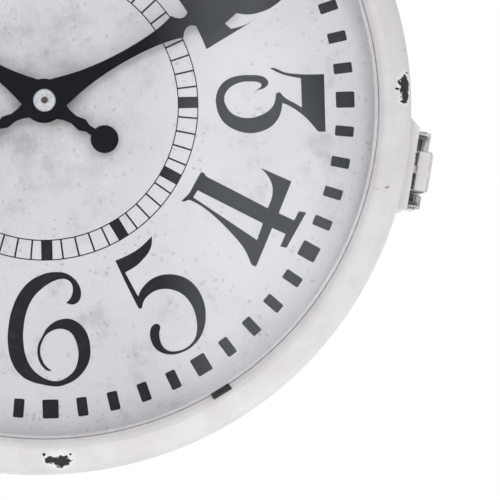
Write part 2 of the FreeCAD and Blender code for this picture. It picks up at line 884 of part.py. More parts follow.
def wall_plate():
    x0 = -reach
    zc = arm_z - arm_above
    half_w = wall_plate_width / 2
    half_h = wall_plate_height / 2
    plate = box(x0, x0 + wall_plate_t, -half_w, half_w, zc - half_h, zc + half_h)
    corners = [e for e in plate.Edges if abs(e.Length - wall_plate_t) < 0.001]
    plate = plate.makeFillet(wall_plate_corner, corners)
    holes = []
    for sy in (-1, 1):
        for sz in (-1, 1):
            y = sy * wall_hole_dy / 2
            z = zc + sz * wall_hole_dz / 2
            holes.append(rod_x(wall_hole_r, x0 - 1, x0 + wall_plate_t + 1, y, z))
    return plate.cut(Part.makeCompound(holes))


def bracket_arm():
    """Round bar with the upright boss that the spindle turns in."""
    bar = rod_x(arm_r, -reach + wall_plate_t, 0, 0, arm_z)
    boss = rod_z(boss_r, boss_bottom, boss_bottom + boss_height)
    bore = rod_z(spindle_r + running, boss_bottom - 1, boss_bottom + boss_height + 1)
    return fuse(bar, boss).cut(bore)


def arm_finial():
    neck = rod_x(finial_neck_r, boss_r - 2, boss_r + finial_neck, 0, arm_z)
    ball = Part.makeSphere(finial_r, v(boss_r + finial_neck + finial_r - 1.5, 0, arm_z))
    return fuse(neck, ball).cut(rod_z(boss_r, arm_z - 20, arm_z + 20))


def curl(cx, cz, a0, a1):
    """Part of a round scroll: a band from angle a0 to a1 about a centre."""
    outer = brace_curl_r
    inner = outer - brace_t
    centre = v(cx, -brace_width / 2, cz)
    across = v(0, 1, 0)
    big = Part.makeCylinder(outer, brace_width, centre, across)
    small = Part.makeCylinder(inner, brace_width + 2, centre - across, across)
    wedge = [centre]
    steps = 8
    for i in range(steps + 1):
        a = math.radians(a0 + (a1 - a0) * i / steps)
        wedge.append(centre + v(3 * outer * math.cos(a), 0, 3 * outer * math.sin(a)))
    keep = polygon_face(wedge).extrude(v(0, brace_width, 0))
    return big.cut(small).common(keep)


def scroll_brace():
    """Flat bar bent to a quarter round, with a curl at each end."""
    x_wall = -reach + wall_plate_t
    z_arm = arm_z - arm_r
    cx = x_wall + brace_r
    cz = z_arm - brace_r
    w = brace_width / 2
    big = rod_y(brace_r, -w, w, cx, cz)
    small = rod_y(brace_r - brace_t, -w - 1, w + 1, cx, cz)
    quarter = big.cut(small).common(box(x_wall, cx, -w, w, cz, z_arm))
    low = box(x_wall, x_wall + brace_t, -w, w, cz - brace_flat, cz)
    far = box(cx, cx + brace_flat, -w, w, z_arm - brace_t, z_arm)
    low_curl = curl(x_wall + brace_curl_r, cz - brace_flat, 180, 450)
    far_curl = curl(cx + brace_flat, z_arm - brace_curl_r, -180, 90)
    return fuse(quarter, low, far, low_curl, far_curl)


# ---------------------------------------------------------------- assembly

def half_nodes():
    """What each half of the clock holds, drawn for the front half."""
    nodes = {
        "case": half_case(),
        "glass": glass(),
        "glass_clips": glass_clips(),
        "dial": dial(),
        "dial_tabs": dial_tabs(),
        "dial_screws": dial_screws(),
    }
    on_arbor = {
        "movement": movement(),
        "dial_nut": dial_nut(),
        "battery": battery(),
        "battery_contacts": battery_contacts(),
        "setting_knob": setting_knob(),
        "hour_hand": hour_hand(),
        "minute_hand": minute_hand(),
        "minute_arbor": minute_arbor(),
        "hand_nut": hand_nut(),
    }
    for name, shape in on_arbor.items():
        nodes[name] = shape.translated(v(0, 0, arbor_rise))
    return nodes


def all_nodes():
    nodes = {}
    for name, shape in half_nodes().items():
        nodes["front_" + name] = shape
        nodes["rear_" + name] = to_rear(shape)
    nodes.update({
        "seam_ring": seam_ring(),
        "latch_pad": pad(pad_start, pad_end),
        "latch_base": latch_base(),
        "latch_base_rivets": latch_base_rivets(),
        "latch_lever_pins": lever_pins(),
        "latch_lever": latch_lever(),
        "latch_claw_pin": claw_pin(),
        "latch_claw_spacers": claw_spacers(),
        "latch_claw": latch_claw(),
        "keeper_pad": pad(-pad_end, -pad_start),
        "latch_keeper": latch_keeper(),
        "keeper_rivets": keeper_rivets(),
        "rear_hinge_leaf": hinge_leaf(0, hinge_pin_r),
        "front_hinge_leaf": hinge_leaf(1, hinge_pin_r + running),
        "hinge_pin": hinge_pin(),
        "rear_hinge_rivets": hinge_rivets(1),
        "front_hinge_rivets": hinge_rivets(-1),
        "hanger_pad": hanger_pad(),
        "hanger": hanger(),
        "hanger_bolts": hanger_bolts(),
        "swivel_spindle": swivel_spindle(),
        "thrust_washer": washer(block_top),
        "top_washer": washer(boss_bottom + boss_height),
        "swivel_nut": swivel_nut(),
        "wall_plate": wall_plate(),
        "bracket_arm": bracket_arm(),
        "arm_finial": arm_finial(),
        "scroll_brace": scroll_brace(),
    })
    return nodes


os.makedirs("parts", exist_ok=True)
to_wall = v(reach, 0, arm_above - arm_z)
for name, shape in all_nodes().items():
    shape.translate(to_wall)
    shape.exportStep("parts/" + name + ".step")
    print(name, len(shape.Solids), round(shape.Volume), shape.isValid())
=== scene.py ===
import math

import bpy
from mathutils import Matrix, Vector


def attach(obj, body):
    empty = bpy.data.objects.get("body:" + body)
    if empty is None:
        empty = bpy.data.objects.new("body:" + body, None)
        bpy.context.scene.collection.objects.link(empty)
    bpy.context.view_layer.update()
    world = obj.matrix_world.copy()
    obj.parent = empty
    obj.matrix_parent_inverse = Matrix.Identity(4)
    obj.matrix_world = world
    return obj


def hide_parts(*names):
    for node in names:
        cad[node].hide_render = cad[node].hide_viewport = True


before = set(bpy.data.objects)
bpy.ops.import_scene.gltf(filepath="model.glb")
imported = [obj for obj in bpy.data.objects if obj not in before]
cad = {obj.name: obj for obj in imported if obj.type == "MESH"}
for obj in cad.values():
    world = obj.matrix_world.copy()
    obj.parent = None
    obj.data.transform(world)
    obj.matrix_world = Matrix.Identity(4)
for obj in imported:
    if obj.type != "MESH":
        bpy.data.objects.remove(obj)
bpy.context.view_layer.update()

# ------------------------------------------------------------------ where the clock hangs
# Both dials face away from one upright plane through the clock's centre. Sizes
# are in millimetres round that centre: right and up as the front dial is read,
# and depth from the seam out towards whichever dial is meant.
centre = Vector((0.235, 0.0, -0.157))
mm = 0.001


def at(side, right, depth, up):
    """A point on the front half (side 1) or the rear half (side -1)."""
    return centre + Vector((side * right, -side * depth, up)) * mm


# ------------------------------------------------------------------ camera and studio
# A long lens stands a few degrees left of and below the dial, and takes in its
# lower right part. Pale floor, one large soft lamp each side, one behind for
# the rear dial, and a low strip that lights the rim from below.
camera_data = bpy.data.cameras.new("camera")
camera_data.sensor_width = 36.0
camera_data.lens = 384.3
camera_data.clip_start = 0.05
camera_data.clip_end = 60.0
camera = bpy.data.objects.new("camera", camera_data)
camera.matrix_world = Matrix((
    (0.994920, 0.021014, -0.098451, 0.0775),
    (-0.097348, -0.048301, -0.994078, -2.6150),
    (-0.025645, 0.998612, -0.046010, -0.3499),
    (0.0, 0.0, 0.0, 1.0),
))
bpy.context.scene.collection.objects.link(camera)
bpy.context.scene.camera = camera
bpy.context.scene.view_settings.view_transform = "Standard"


def node(tree, kind, inputs=None, **settings):
    """Adds a shader node; inputs are values or the sockets that feed them."""
    made = tree.nodes.new(kind)
    for name, value in settings.items():
        setattr(made, name, value)
    for name, value in (inputs or {}).items():
        if isinstance(value, bpy.types.NodeSocket):
            tree.links.new(value, made.inputs[name])
        else:
            made.inputs[name].default_value = value
    return made


def math_of(tree, operation, a, b=0.0):
    """The outcome of one sum; a and b are numbers or sockets."""
    return node(tree, "ShaderNodeMath", {0: a, 1: b}, operation=operation).outputs[0]


def spread(tree, value, low, high, to_low=0.0, to_high=1.0):
    """Value from low to high, smoothly made into to_low to to_high."""
    made = node(tree, "ShaderNodeMapRange", {"Value": value, "From Min": low, "From Max": high,
                "To Min": to_low, "To Max": to_high}, interpolation_type="SMOOTHSTEP")
    return made.outputs["Result"]


def blend_colour(tree, share, first, second):
    """The first colour, gone over to the second by the share."""
    made = node(tree, "ShaderNodeMix", {0: share, 6: first, 7: second}, data_type="RGBA")
    return made.outputs[2]


world = bpy.data.worlds.new("studio")
world.use_nodes = True
bpy.context.scene.world = world
sky = world.node_tree
sky.nodes.clear()
ray = node(sky, "ShaderNodeLightPath")
direction = node(sky, "ShaderNodeTexCoord").outputs["Generated"]
towards = node(sky, "ShaderNodeSeparateXYZ", {0: direction})
in_front = spread(sky, towards.outputs["Y"], -0.60, -0.95)
elsewhere = math_of(sky, "SUBTRACT", 1.0, in_front)
# looked at, it is white, also through glass, but for the room behind the lens
seen = math_of(sky, "MAXIMUM", ray.outputs["Is Camera Ray"],
               math_of(sky, "MULTIPLY", ray.outputs["Is Transmission Ray"], elsewhere))
# in gloss and in the glass's faces that room is dim, with a pale wall to its right
ahead = math_of(sky, "MAXIMUM", math_of(sky, "MULTIPLY", towards.outputs["Y"], -1.0), 0.05)
beside = math_of(sky, "DIVIDE", towards.outputs["X"], ahead)
above = math_of(sky, "DIVIDE", towards.outputs["Z"], ahead)
wall = spread(sky, beside, 0.078, 0.096, 0.0, 2.0)
slanted = math_of(sky, "ADD", beside, math_of(sky, "MULTIPLY", above, 0.34))
wall = math_of(sky, "MULTIPLY", wall, spread(sky, slanted, 0.131, 0.142, 1.0, 0.4))
room = math_of(sky, "MAXIMUM", wall, spread(sky, above, 0.085, 0.055, 0.03, 0.12))
mirrored = math_of(sky, "ADD", math_of(sky, "MULTIPLY", room, in_front),
                   math_of(sky, "MULTIPLY", 0.7, elsewhere))
in_mirror = math_of(sky, "MAXIMUM", ray.outputs["Is Glossy Ray"],
                    ray.outputs["Is Transmission Ray"])
lit = math_of(sky, "MULTIPLY", in_mirror, mirrored)
round_about = spread(sky, towards.outputs["Y"], -0.85, -0.1, 0.30, 0.84)
other = math_of(sky, "SUBTRACT", 1.0, in_mirror)
lit = math_of(sky, "ADD", lit, math_of(sky, "MULTIPLY", other, round_about))
strength = math_of(sky, "MAXIMUM", seen, lit)
daylight = math_of(sky, "MULTIPLY", in_front, in_mirror)
backdrop = node(sky, "ShaderNodeBackground", {
    "Color": blend_colour(sky, daylight, (1, 1, 1, 1), (0.84, 0.92, 1.0, 1)),
    "Strength": strength})
node(sky, "ShaderNodeOutputWorld", {"Surface": backdrop.outputs[0]})


def lamp(name, spot, target, width, height, power):
    """A soft oblong lamp that is turned to its target and isn't seen itself."""
    data = bpy.data.lights.new(name, "AREA")
    data.shape = "RECTANGLE"
    data.size = width
    data.size_y = height
    data.energy = power
    made = bpy.data.objects.new(name, data)
    made.location = spot
    made.rotation_mode = "QUATERNION"
    made.rotation_quaternion = (Vector(target) - Vector(spot)).to_track_quat("-Z", "Y")
    made.visible_camera = False
    bpy.context.scene.collection.objects.link(made)


lamp("left_soft_lamp", (-0.6, -2.6, 0.5), centre, 1.0, 1.0, 15.7)
lamp("right_soft_lamp", (0.95, -2.5, 0.95), centre, 1.0, 1.0, 13.0)
lamp("rear_soft_lamp", (0.6, 3.0, 1.4), centre, 2.0, 1.6, 45.0)
lamp("low_strip_lamp", (0.45, -0.10, -0.60), (0.33, -0.03, -0.31), 0.9, 0.26, 0.70)

floor_reach, floor_level = 9.0, -0.62
floor_mesh = bpy.data.meshes.new("floor")
floor_mesh.from_pydata([(x * floor_reach, y * floor_reach, floor_level)
                        for x, y in ((-1, -1), (1, -1), (1, 1), (-1, 1))], [], [(0, 1, 2, 3)])
floor = bpy.data.objects.new("floor", floor_mesh)
bpy.context.scene.collection.objects.link(floor)
floor_paint = bpy.data.materials.new("pale_floor")
floor_paint.use_nodes = True
tree = floor_paint.node_tree
tree.nodes.clear()
ray = node(tree, "ShaderNodeLightPath")
shaded = node(tree, "ShaderNodeBsdfDiffuse", {"Color": (0.86, 0.86, 0.86, 1)})
white = node(tree, "ShaderNodeEmission", {"Color": (1, 1, 1, 1), "Strength": 1.0})
plain = math_of(tree, "MAXIMUM", ray.outputs["Is Camera Ray"], ray.outputs["Is Glossy Ray"])
plain = math_of(tree, "MAXIMUM", plain, ray.outputs["Is Transmission Ray"])
# far away the floor fades into the white beyond it
far = node(tree, "ShaderNodeVectorMath", {0: node(tree, "ShaderNodeTexCoord").outputs["Object"]},
           operation="LENGTH").outputs["Value"]
share = math_of(tree, "MULTIPLY", plain, spread(tree, far, 0.8, 4.0, 0.6, 1.0))
mixed = node(tree, "ShaderNodeMixShader", {0: share, 1: shaded.outputs[0], 2: white.outputs[0]})
node(tree, "ShaderNodeOutputMaterial", {"Surface": mixed.outputs[0]})
floor_mesh.materials.append(floor_paint)

# ------------------------------------------------------------------ painted half cases
# Each half is pressed from 1.5 mm sheet: skirt, rounded shoulder, sloping face,
# a rolled crest and a funnel down to the glass. It is black in the metal,
# sprayed off-white and rubbed, so that black shows at knocks and edges.


def effect(name, inputs, outputs):
    """An empty shader node group with its named sockets."""
    group = bpy.data.node_groups.new(name, "ShaderNodeTree")
    for label, kind, value in inputs:
        made = group.interface.new_socket(name=label, in_out="INPUT", socket_type=kind)
        made.default_value = value
    for label, kind in outputs:
        group.interface.new_socket(name=label, in_out="OUTPUT", socket_type=kind)
    entry = group.nodes.new("NodeGroupInput")
    leave = group.nodes.new("NodeGroupOutput")
    return group, entry, leave


NUMBER, COLOUR, VECTOR = "NodeSocketFloat", "NodeSocketColor", "NodeSocketVector"

# paint that is a little uneven, has a fine orange peel, and is off at the edges
worn_paint, entry, leave = effect("worn_paint", [
    ("Paint", COLOUR, (0.8, 0.8, 0.8, 1)), ("Shade", COLOUR, (0.7, 0.7, 0.7, 1)),
    ("Edge Wear", NUMBER, 0.5), ("Knocks", NUMBER, 0.5), ("Grain", NUMBER, 900.0),
], [("Colour", COLOUR), ("Bare", NUMBER), ("Height", NUMBER)])
spot = node(worn_paint, "ShaderNodeTexCoord").outputs["Object"]
cloud = node(worn_paint, "ShaderNodeTexNoise", {"Vector": spot, "Scale": 9.0, "Detail": 3.0})
smear = node(worn_paint, "ShaderNodeTexNoise", {"Vector": spot, "Scale": 70.0, "Detail": 5.0,
             "Roughness": 0.65})
tone = math_of(worn_paint, "MULTIPLY", cloud.outputs["Fac"], smear.outputs["Fac"])
tone = spread(worn_paint, tone, 0.17, 0.36)
tinted = blend_colour(worn_paint, tone, entry.outputs["Shade"], entry.outputs["Paint"])
rounded = node(worn_paint, "ShaderNodeBevel", {"Radius": 0.0011}, samples=6)
surface = node(worn_paint, "ShaderNodeNewGeometry")
bend = node(worn_paint, "ShaderNodeVectorMath", {0: rounded.outputs[0],
            1: surface.outputs["Normal"]}, operation="DOT_PRODUCT").outputs["Value"]
edge = spread(worn_paint, bend, 0.985, 0.90)
ragged = node(worn_paint, "ShaderNodeTexNoise", {"Vector": spot, "Scale": 210.0, "Detail": 6.0,
              "Roughness": 0.7})
patch = node(worn_paint, "ShaderNodeTexNoise", {"Vector": spot, "Scale": 26.0, "Detail": 2.0})
rub = math_of(worn_paint, "MULTIPLY", ragged.outputs["Fac"], patch.outputs["Fac"])
rub = math_of(worn_paint, "MULTIPLY", rub, entry.outputs["Edge Wear"])
worn_edge = math_of(worn_paint, "MULTIPLY", edge, spread(worn_paint, rub, 0.155, 0.175))
dent = node(worn_paint, "ShaderNodeTexNoise", {"Vector": spot, "Scale": 170.0, "Detail": 6.0,
            "Roughness": 0.7})
rare = node(worn_paint, "ShaderNodeTexNoise", {"Vector": spot, "Scale": 19.0, "Detail": 1.0})
knock = math_of(worn_paint, "MULTIPLY", dent.outputs["Fac"], rare.outputs["Fac"])
knock = math_of(worn_paint, "MULTIPLY", knock, entry.outputs["Knocks"])
bare = math_of(worn_paint, "MAXIMUM", worn_edge, spread(worn_paint, knock, 0.372, 0.384))
peel = node(worn_paint, "ShaderNodeTexNoise", {"Vector": spot, "Scale": entry.outputs["Grain"],
            "Detail": 2.0})
film = math_of(worn_paint, "SUBTRACT", math_of(worn_paint, "MULTIPLY", peel.outputs["Fac"], 0.25),
               bare)
worn_paint.links.new(tinted, leave.inputs["Colour"])
worn_paint.links.new(bare, leave.inputs["Bare"])
worn_paint.links.new(film, leave.inputs["Height"])

# one knock of the paint, ragged and longer one way, with paler film round it
paint_knock, entry, leave = effect("paint_knock", [
    ("Place", VECTOR, (0, 0, 0)), ("Half Size", VECTOR, (0.004, 0.004, 0.004)),
    ("Ragged", NUMBER, 0.45), ("Grain", NUMBER, 560.0),
], [("Bare", NUMBER), ("Halo", NUMBER)])
spot = node(paint_knock, "ShaderNodeTexCoord").outputs["Object"]
away = node(paint_knock, "ShaderNodeVectorMath", {0: spot, 1: entry.outputs["Place"]},
            operation="SUBTRACT").outputs[0]
away = node(paint_knock, "ShaderNodeVectorMath", {0: away, 1: entry.outputs["Half Size"]},
            operation="DIVIDE").outputs[0]
away = node(paint_knock, "ShaderNodeVectorMath", {0: away}, operation="LENGTH").outputs["Value"]
rough = node(paint_knock, "ShaderNodeTexNoise", {"Vector": spot, "Scale": entry.outputs["Grain"],
             "Detail": 5.0, "Roughness": 0.7}).outputs["Fac"]
rough = math_of(paint_knock, "MULTIPLY", math_of(paint_knock, "SUBTRACT", rough, 0.5),
                math_of(paint_knock, "MULTIPLY", entry.outputs["Ragged"], 5.0))
away = math_of(paint_knock, "ADD", away, rough)
paint_knock.links.new(spread(paint_knock, away, 1.02, 0.95), leave.inputs["Bare"])
paint_knock.links.new(spread(paint_knock, away, 1.7, 1.05), leave.inputs["Halo"])


def principled(name, **sockets):
    """A material with one surface shader, whose plain sockets are set here."""
    made = bpy.data.materials.new(name)
    made.use_nodes = True
    shader = made.node_tree.nodes["Principled BSDF"]
    for label, value in sockets.items():
        shader.inputs[label.replace("_", " ")].default_value = value
    return made, made.node_tree, shader


def off_white_paint(name, edge_wear, knocks, places=()):
    """The clock's paint; each place is (point, half sizes) of a single knock."""
    made, tree, shader = principled(name, Specular_IOR_Level=0.42)
    paint = node(tree, "ShaderNodeGroup", node_tree=worn_paint)
    paint.inputs["Paint"].default_value = (0.735, 0.715, 0.722, 1)
    paint.inputs["Shade"].default_value = (0.680, 0.655, 0.664, 1)
    paint.inputs["Edge Wear"].default_value = edge_wear
    paint.inputs["Knocks"].default_value = knocks
    bare = paint.outputs["Bare"]
    colour = paint.outputs["Colour"]
    for point, half in places:
        hit = node(tree, "ShaderNodeGroup", node_tree=paint_knock)
        hit.inputs["Place"].default_value = point
        hit.inputs["Half Size"].default_value = half
        colour = blend_colour(tree, hit.outputs["Halo"], colour, (0.83, 0.82, 0.83, 1))
        bare = math_of(tree, "MAXIMUM", bare, hit.outputs["Bare"])
    colour = blend_colour(tree, bare, colour, (0.012, 0.012, 0.014, 1))
    tree.links.new(colour, shader.inputs["Base Color"])
    tree.links.new(spread(tree, bare, 0.0, 1.0, 0.36, 0.55), shader.inputs["Roughness"])
    bump = node(tree, "ShaderNodeBump", {"Strength": 0.35, "Distance": 0.00012,
                "Height": paint.outputs["Height"]})
    tree.links.new(bump.outputs[0], shader.inputs["Normal"])
    return made


case_paint = off_white_paint("case_paint", 0.42, 0.80, [
    (at(1, 175.9, 35.6, 5.6), (0.0034, 0.0034, 0.0050)),
    (at(1, 176.0, 35.5, 1.4), (0.0030, 0.0030, 0.0040)),
    (at(1, 175.2, 36.0, -2.6), (0.0026, 0.0026, 0.0009)),
    (at(1, 172.0, 38.0, 3.6), (0.0012, 0.0020, 0.0007)),
    (at(1, 172.9, 37.6, 6.9), (0.0007, 0.0016, 0.0009)),
    (at(1, 177.4, 33.9, 11.6), (0.0007, 0.0016, 0.0007)),
    (at(1, 3.6, 37.0, -173.9), (0.0044, 0.0044, 0.0034)),
    (at(1, -1.4, 37.4, -173.1), (0.0028, 0.0036, 0.0018)),
    (at(1, 8.0, 38.6, -170.6), (0.0007, 0.0016, 0.0007)),
    (at(1, -4.8, 38.6, -170.4), (0.0008, 0.0016, 0.0008)),
    (at(-1, 122.0, 36.8, 126.0), (0.0040, 0.0040, 0.0030)),
    (at(-1, -171.0, 37.6, -40.0), (0.0022, 0.0030, 0.0060)),
])


def rounded_line(corners, steps=7):
    """A closed outline of (radius, depth) corners, each rounded by its own size."""
    line = []
    for i, (x, y, r) in enumerate(corners):
        here = Vector((x, y))
        before = Vector(corners[i - 1][:2]) - here
        after = Vector(corners[(i + 1) % len(corners)][:2]) - here
        turn = before.angle(after)
        cut = r / math.tan(turn / 2)
        middle = (before.normalized() + after.normalized()).normalized() * (r / math.sin(turn / 2))
        start = before.normalized() * cut - middle
        end = after.normalized() * cut - middle
        swing = start.angle_signed(end)
        for k in range(steps):
            a = -swing * k / (steps - 1)
            c, s = math.cos(a), math.sin(a)
            line.append(here + middle + Vector((start.x * c - start.y * s,
                                                start.x * s + start.y * c)))
    return line


def new_piece(name, points, faces, material, smooth=True):
    """A piece of its own with one material."""
    mesh = bpy.data.meshes.new(name)
    mesh.from_pydata([tuple(p) for p in points], [], faces)
    mesh.materials.append(material)
    if smooth:
        mesh.shade_smooth()
    made = bpy.data.objects.new(name, mesh)
    bpy.context.scene.collection.objects.link(made)
    return made


def spun(name, side, line, material, count=288):
    """The outline spun round the dial's axis."""
    points, faces = [], []
    n = len(line)
    for k in range(count):
        a = 2 * math.pi * k / count
        for r, depth in line:
            points.append(at(side, r * math.cos(a), depth, r * math.sin(a)))
    for k in range(count):
        here, beyond = k * n, (k + 1) % count * n
        for i in range(n):
            j = (i + 1) % n
            faces.append((here + i, here + j, beyond + j, beyond + i)[::-side])
    return new_piece(name, points, faces, material)


case_line = rounded_line([
    (180.0, 0.16, 0.45), (180.0, 33.2, 11.5), (172.2, 38.05, 14.0), (167.9, 40.0, 1.6),
    (165.3, 38.7, 1.4), (163.4, 36.4, 0.4), (163.4, 33.0, 0.2), (161.4, 33.0, 0.3),
    (161.4, 31.5, 0.3), (164.9, 31.5, 0.6), (164.9, 35.6, 0.4), (168.1, 38.3, 1.0),
    (178.5, 32.3, 8.5), (178.5, 0.16, 0.45),
])
for side, half in ((1, "front"), (-1, "rear")):
    shell = spun(half + "_pressed_case", side, case_line, case_paint)
    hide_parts(half + "_case")
    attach(shell, half + "_half")


def finish_nodes(material, *names):
    """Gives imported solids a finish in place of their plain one."""
    for name in names:
        cad[name].data.materials.clear()
        cad[name].data.materials.append(material)


finish_nodes(case_paint, "seam_ring", "hanger_pad", "keeper_pad", "latch_pad")

# ------------------------------------------------------------------ glass
# A plain 3 mm disc with a bevel, laid on the flange of the case. Light
# goes straight through it to the dial; its faces mirror the lamps faintly, and
# its edge is tinted dark as painted shade for the gap between glass and funnel.
glass, tree, shader = principled("clear_glass", IOR=1.5, Transmission_Weight=1.0)
ray = node(tree, "ShaderNodeLightPath")
through = math_of(tree, "MAXIMUM", ray.outputs["Is Shadow Ray"], ray.outputs["Is Diffuse Ray"])
straight = math_of(tree, "SUBTRACT", ray.outputs["Is Glossy Ray"],
                   ray.outputs["Is Transmission Ray"])
through = math_of(tree, "MAXIMUM", through, straight)
clear = node(tree, "ShaderNodeBsdfTransparent", {"Color": (0.975, 0.972, 0.98, 1)})
both = node(tree, "ShaderNodeMixShader", {0: through, 1: shader.outputs[0], 2: clear.outputs[0]})
tree.links.new(both.outputs[0], tree.nodes["Material Output"].inputs["Surface"])
dust = node(tree, "ShaderNodeTexNoise", {"Vector": node(tree, "ShaderNodeTexCoord").outputs[
    "Object"], "Scale": 240.0, "Detail": 6.0})
tree.links.new(spread(tree, dust.outputs["Fac"], 0.66, 0.80, 0.0, 0.12),
               shader.inputs["Roughness"])
outwards = node(tree, "ShaderNodeVectorMath", {0: node(tree, "ShaderNodeTexCoord").outputs[
    "Object"], 1: tuple(centre)}, operation="SUBTRACT").outputs[0]
outwards = node(tree, "ShaderNodeVectorMath", {0: outwards, 1: (1, 0, 1)}, operation="MULTIPLY")
outwards = node(tree, "ShaderNodeVectorMath", {0: outwards.outputs[0]}, operation="LENGTH")
# past this radius the glass's colour is dark: painted shade for the gap between the glass and the
# funnel
gap_shade_edge = (0.16255, 0.16275)     # the radius where clear glass ends
gap_shade = spread(tree, outwards.outputs["Value"], *gap_shade_edge)
tree.links.new(blend_colour(tree, gap_shade, (0.990, 0.986, 0.994, 1), (0.16, 0.16, 0.17, 1)),
               shader.inputs["Base Color"])
finish_nodes(glass, "front_glass", "rear_glass")

# ------------------------------------------------------------------ glass clips
# Short black spring clips, four to a half, pushed between the funnel and the
# glass's edge. They are dull and a little scuffed.
clip_black, tree, shader = principled("clip_black", Specular_IOR_Level=0.35)
scuff = node(tree, "ShaderNodeTexNoise", {"Vector": node(tree, "ShaderNodeTexCoord").outputs[
    "Object"], "Scale": 420.0, "Detail": 5.0})
tree.links.new(blend_colour(tree, spread(tree, scuff.outputs["Fac"], 0.5, 0.75),
               (0.022, 0.022, 0.024, 1), (0.075, 0.075, 0.078, 1)), shader.inputs["Base Color"])
tree.links.new(spread(tree, scuff.outputs["Fac"], 0.3, 0.7, 0.42, 0.62),
               shader.inputs["Roughness"])
bump = node(tree, "ShaderNodeBump", {"Strength": 0.3, "Distance": 0.0001,
            "Height": scuff.outputs["Fac"]})
tree.links.new(bump.outputs[0], shader.inputs["Normal"])
finish_nodes(clip_black, "front_glass_clips", "rear_glass_clips")

# ------------------------------------------------------------------ dial
# A steel disc with a printed paper face: pale grey, clouded and spotted with
# age, more so round the hands. Its back and its edge are left bare.
dial_paper, tree, shader = principled("dial_paper", Specular_IOR_Level=0.25)
spot = node(tree, "ShaderNodeTexCoord").outputs["Object"]
from_hub = node(tree, "ShaderNodeVectorMath", {0: spot, 1: tuple(centre)}, operation="SUBTRACT")
flat = node(tree, "ShaderNodeVectorMath", {0: from_hub.outputs[0], 1: (1, 0, 1)},
            operation="MULTIPLY")
radius = node(tree, "ShaderNodeVectorMath", {0: flat.outputs[0]}, operation="LENGTH")
radius = radius.outputs["Value"]
cloud = node(tree, "ShaderNodeTexNoise", {"Vector": spot, "Scale": 16.0, "Detail": 6.0,
             "Roughness": 0.62}).outputs["Fac"]
fog = node(tree, "ShaderNodeTexNoise", {"Vector": spot, "Scale": 55.0, "Detail": 7.0,
           "Roughness": 0.72}).outputs["Fac"]
colour = blend_colour(tree, spread(tree, cloud, 0.35, 0.68), (0.822, 0.818, 0.842, 1),
                      (0.762, 0.757, 0.775, 1))
worn_middle = math_of(tree, "MULTIPLY", spread(tree, radius, 0.075, 0.012),
                      spread(tree, fog, 0.36, 0.66))
colour = blend_colour(tree, math_of(tree, "MULTIPLY", worn_middle, 0.55), colour,
                      (0.47, 0.47, 0.475, 1))
stain = math_of(tree, "MULTIPLY", spread(tree, fog, 0.50, 0.66), spread(tree, cloud, 0.42, 0.60))
colour = blend_colour(tree, math_of(tree, "MULTIPLY", stain, 0.55), colour, (0.50, 0.50, 0.515, 1))
bent = node(tree, "ShaderNodeTexNoise", {"Vector": spot, "Scale": 420.0, "Detail": 4.0})
bent = node(tree, "ShaderNodeVectorMath", {0: bent.outputs["Color"], 1: (0.5, 0.5, 0.5)},
            operation="SUBTRACT").outputs[0]
bent = node(tree, "ShaderNodeVectorMath", {0: bent, 1: (0.0035, 0.0035, 0.0035), 2: spot},
            operation="MULTIPLY_ADD").outputs[0]
grit = node(tree, "ShaderNodeTexVoronoi", {"Vector": bent, "Scale": 240.0, "Randomness": 1.0})
fleck_size = node(tree, "ShaderNodeTexNoise", {"Vector": spot, "Scale": 60.0, "Detail": 4.0})
fleck = math_of(tree, "SUBTRACT", math_of(tree, "MULTIPLY", fleck_size.outputs["Fac"], 0.60),
                grit.outputs["Distance"])
fleck = spread(tree, fleck, 0.10, 0.21)
colour = blend_colour(tree, math_of(tree, "MULTIPLY", fleck, 0.42), colour, (0.42, 0.42, 0.44, 1))
grain = node(tree, "ShaderNodeTexNoise", {"Vector": spot, "Scale": 900.0, "Detail": 3.0})
grain = math_of(tree, "MULTIPLY", spread(tree, grain.outputs["Fac"], 0.45, 0.75), 0.22)
colour = blend_colour(tree, grain, colour, (0.52, 0.52, 0.53, 1))
# the paper lies on the face alone, 20 mm from the seam
depth = math_of(tree, "ABSOLUTE", node(tree, "ShaderNodeSeparateXYZ", {0: spot}).outputs["Y"])
paper_ends = (0.01990, 0.01985)
steel = spread(tree, depth, *paper_ends)
steel_tone = blend_colour(tree, spread(tree, cloud, 0.35, 0.68), (0.44, 0.44, 0.45, 1),
                          (0.33, 0.33, 0.335, 1))
tree.links.new(blend_colour(tree, steel, colour, steel_tone), shader.inputs["Base Color"])
tree.links.new(math_of(tree, "MULTIPLY", steel, 0.9), shader.inputs["Metallic"])
rough = spread(tree, fog, 0.3, 0.7, 0.55, 0.72)
rough = math_of(tree, "SUBTRACT", rough, math_of(tree, "MULTIPLY", steel, 0.14))
tree.links.new(rough, shader.inputs["Roughness"])
bump = node(tree, "ShaderNodeBump", {"Strength": 0.12, "Distance": 0.0001, "Height": fog})
tree.links.new(bump.outputs[0], shader.inputs["Normal"])
finish_nodes(dial_paper, "front_dial", "rear_dial")

# ------------------------------------------------------------------ dial print
# Charcoal ink a few hundredths thick: a ring of blocks for the minutes, a
# narrow track of hours near the hands, and old style numerals, the lower ones
# standing the other way up. Each numeral is drawn by its outline's points.
print_ink, tree, shader = principled("print_ink", Specular_IOR_Level=0.12)
spot = node(tree, "ShaderNodeTexCoord").outputs["Object"]
thin = node(tree, "ShaderNodeTexNoise", {"Vector": spot, "Scale": 130.0, "Detail": 8.0,
            "Roughness": 0.75}).outputs["Fac"]
tree.links.new(blend_colour(tree, spread(tree, thin, 0.48, 0.75), (0.013, 0.014, 0.019, 1),
               (0.032, 0.034, 0.044, 1)), shader.inputs["Base Color"])
tree.links.new(spread(tree, thin, 0.3, 0.7, 0.45, 0.62), shader.inputs["Roughness"])

